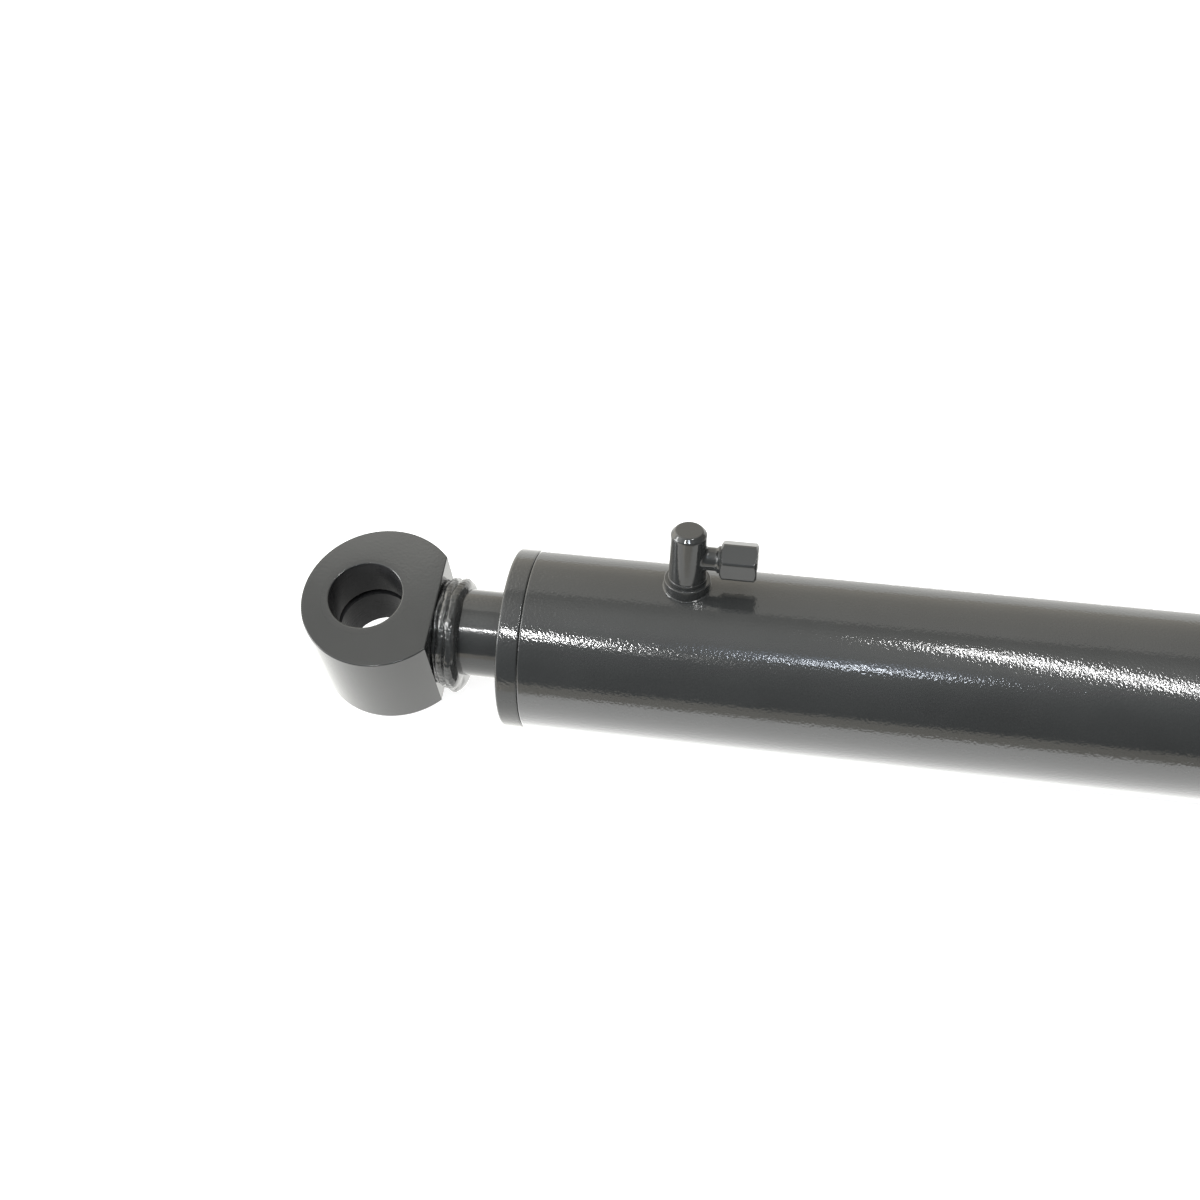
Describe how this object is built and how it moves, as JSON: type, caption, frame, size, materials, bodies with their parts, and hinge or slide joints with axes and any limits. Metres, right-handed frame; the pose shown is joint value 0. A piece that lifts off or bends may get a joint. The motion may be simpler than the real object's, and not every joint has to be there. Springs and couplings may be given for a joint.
{
  "type": "hydraulic cylinder",
  "caption": "Double-acting hydraulic cylinder with a welded bushed eye on rod and base, screwed-in gland, and side ports with capped elbow fittings.",
  "frame": {"origin": "centre of the base pin bore, on the cylinder's axis", "axes": "+X along the cylinder's axis from the rod end to the base end, +Z along both pin bores, on the side that the ports lean from towards +Y"},
  "size_m": [0.7906, 0.0982, 0.1263],
  "materials": {
    "enamel": "semi-gloss dark grey enamel with slight orange peel",
    "chromed_rod": "hard chrome, ground, with enamel on the stretch outside the gland",
    "piston_iron": "turned ductile iron",
    "plated_steel": "zinc plated",
    "bush_steel": "hardened steel bushes, bored, with the eye's dark paint and oil over them",
    "rubber": "matt nitrile",
    "polyurethane_seal": "satin polyurethane",
    "guide_ring": "fabric-filled resin"
  },
  "bodies": {
    "barrel": {"barrel_tube": "enamel", "base_cap": "enamel", "base_cap_weld": "enamel", "base_eye": "enamel", "base_eye_weld": "enamel", "base_eye_bush_top": "bush_steel", "base_eye_bush_bottom": "bush_steel", "base_eye_grease_nipple": "plated_steel", "gland": "enamel", "gland_wear_ring_front": "guide_ring", "gland_wear_ring_rear": "guide_ring", "gland_buffer_seal": "polyurethane_seal", "gland_rod_seal": "polyurethane_seal", "gland_wiper": "rubber", "gland_o_ring": "rubber", "gland_backup_ring": "polyurethane_seal", "rod_port_boss": "enamel", "rod_port_washer": "plated_steel", "rod_port_elbow": "enamel", "rod_port_nut": "enamel", "base_port_boss": "enamel", "base_port_washer": "plated_steel", "base_port_elbow": "enamel", "base_port_nut": "enamel"},
    "piston_packing": {"piston_wear_ring_front": "guide_ring", "piston_wear_ring_rear": "guide_ring", "piston_seal_energizer": "rubber", "piston_seal": "polyurethane_seal"},
    "rod_assembly": {"rod": "chromed_rod", "rod_eye_weld": "enamel", "piston": "piston_iron", "piston_o_ring": "rubber", "piston_lock_nut": "plated_steel", "rod_eye": "enamel", "rod_eye_bush_top": "bush_steel", "rod_eye_bush_bottom": "bush_steel", "rod_eye_grease_nipple": "plated_steel"}
  },
  "joints": [
    {"name": "rod_slide", "type": "slide", "parent": "barrel", "child": "piston_packing", "axis": [-1, 0, 0], "range_m": [0, 0.4]},
    {"name": "rod_turn", "type": "hinge", "parent": "piston_packing", "child": "rod_assembly", "pos_m": [-0.4, 0, 0], "axis": [1, 0, 0], "continuous": true}
  ]
}
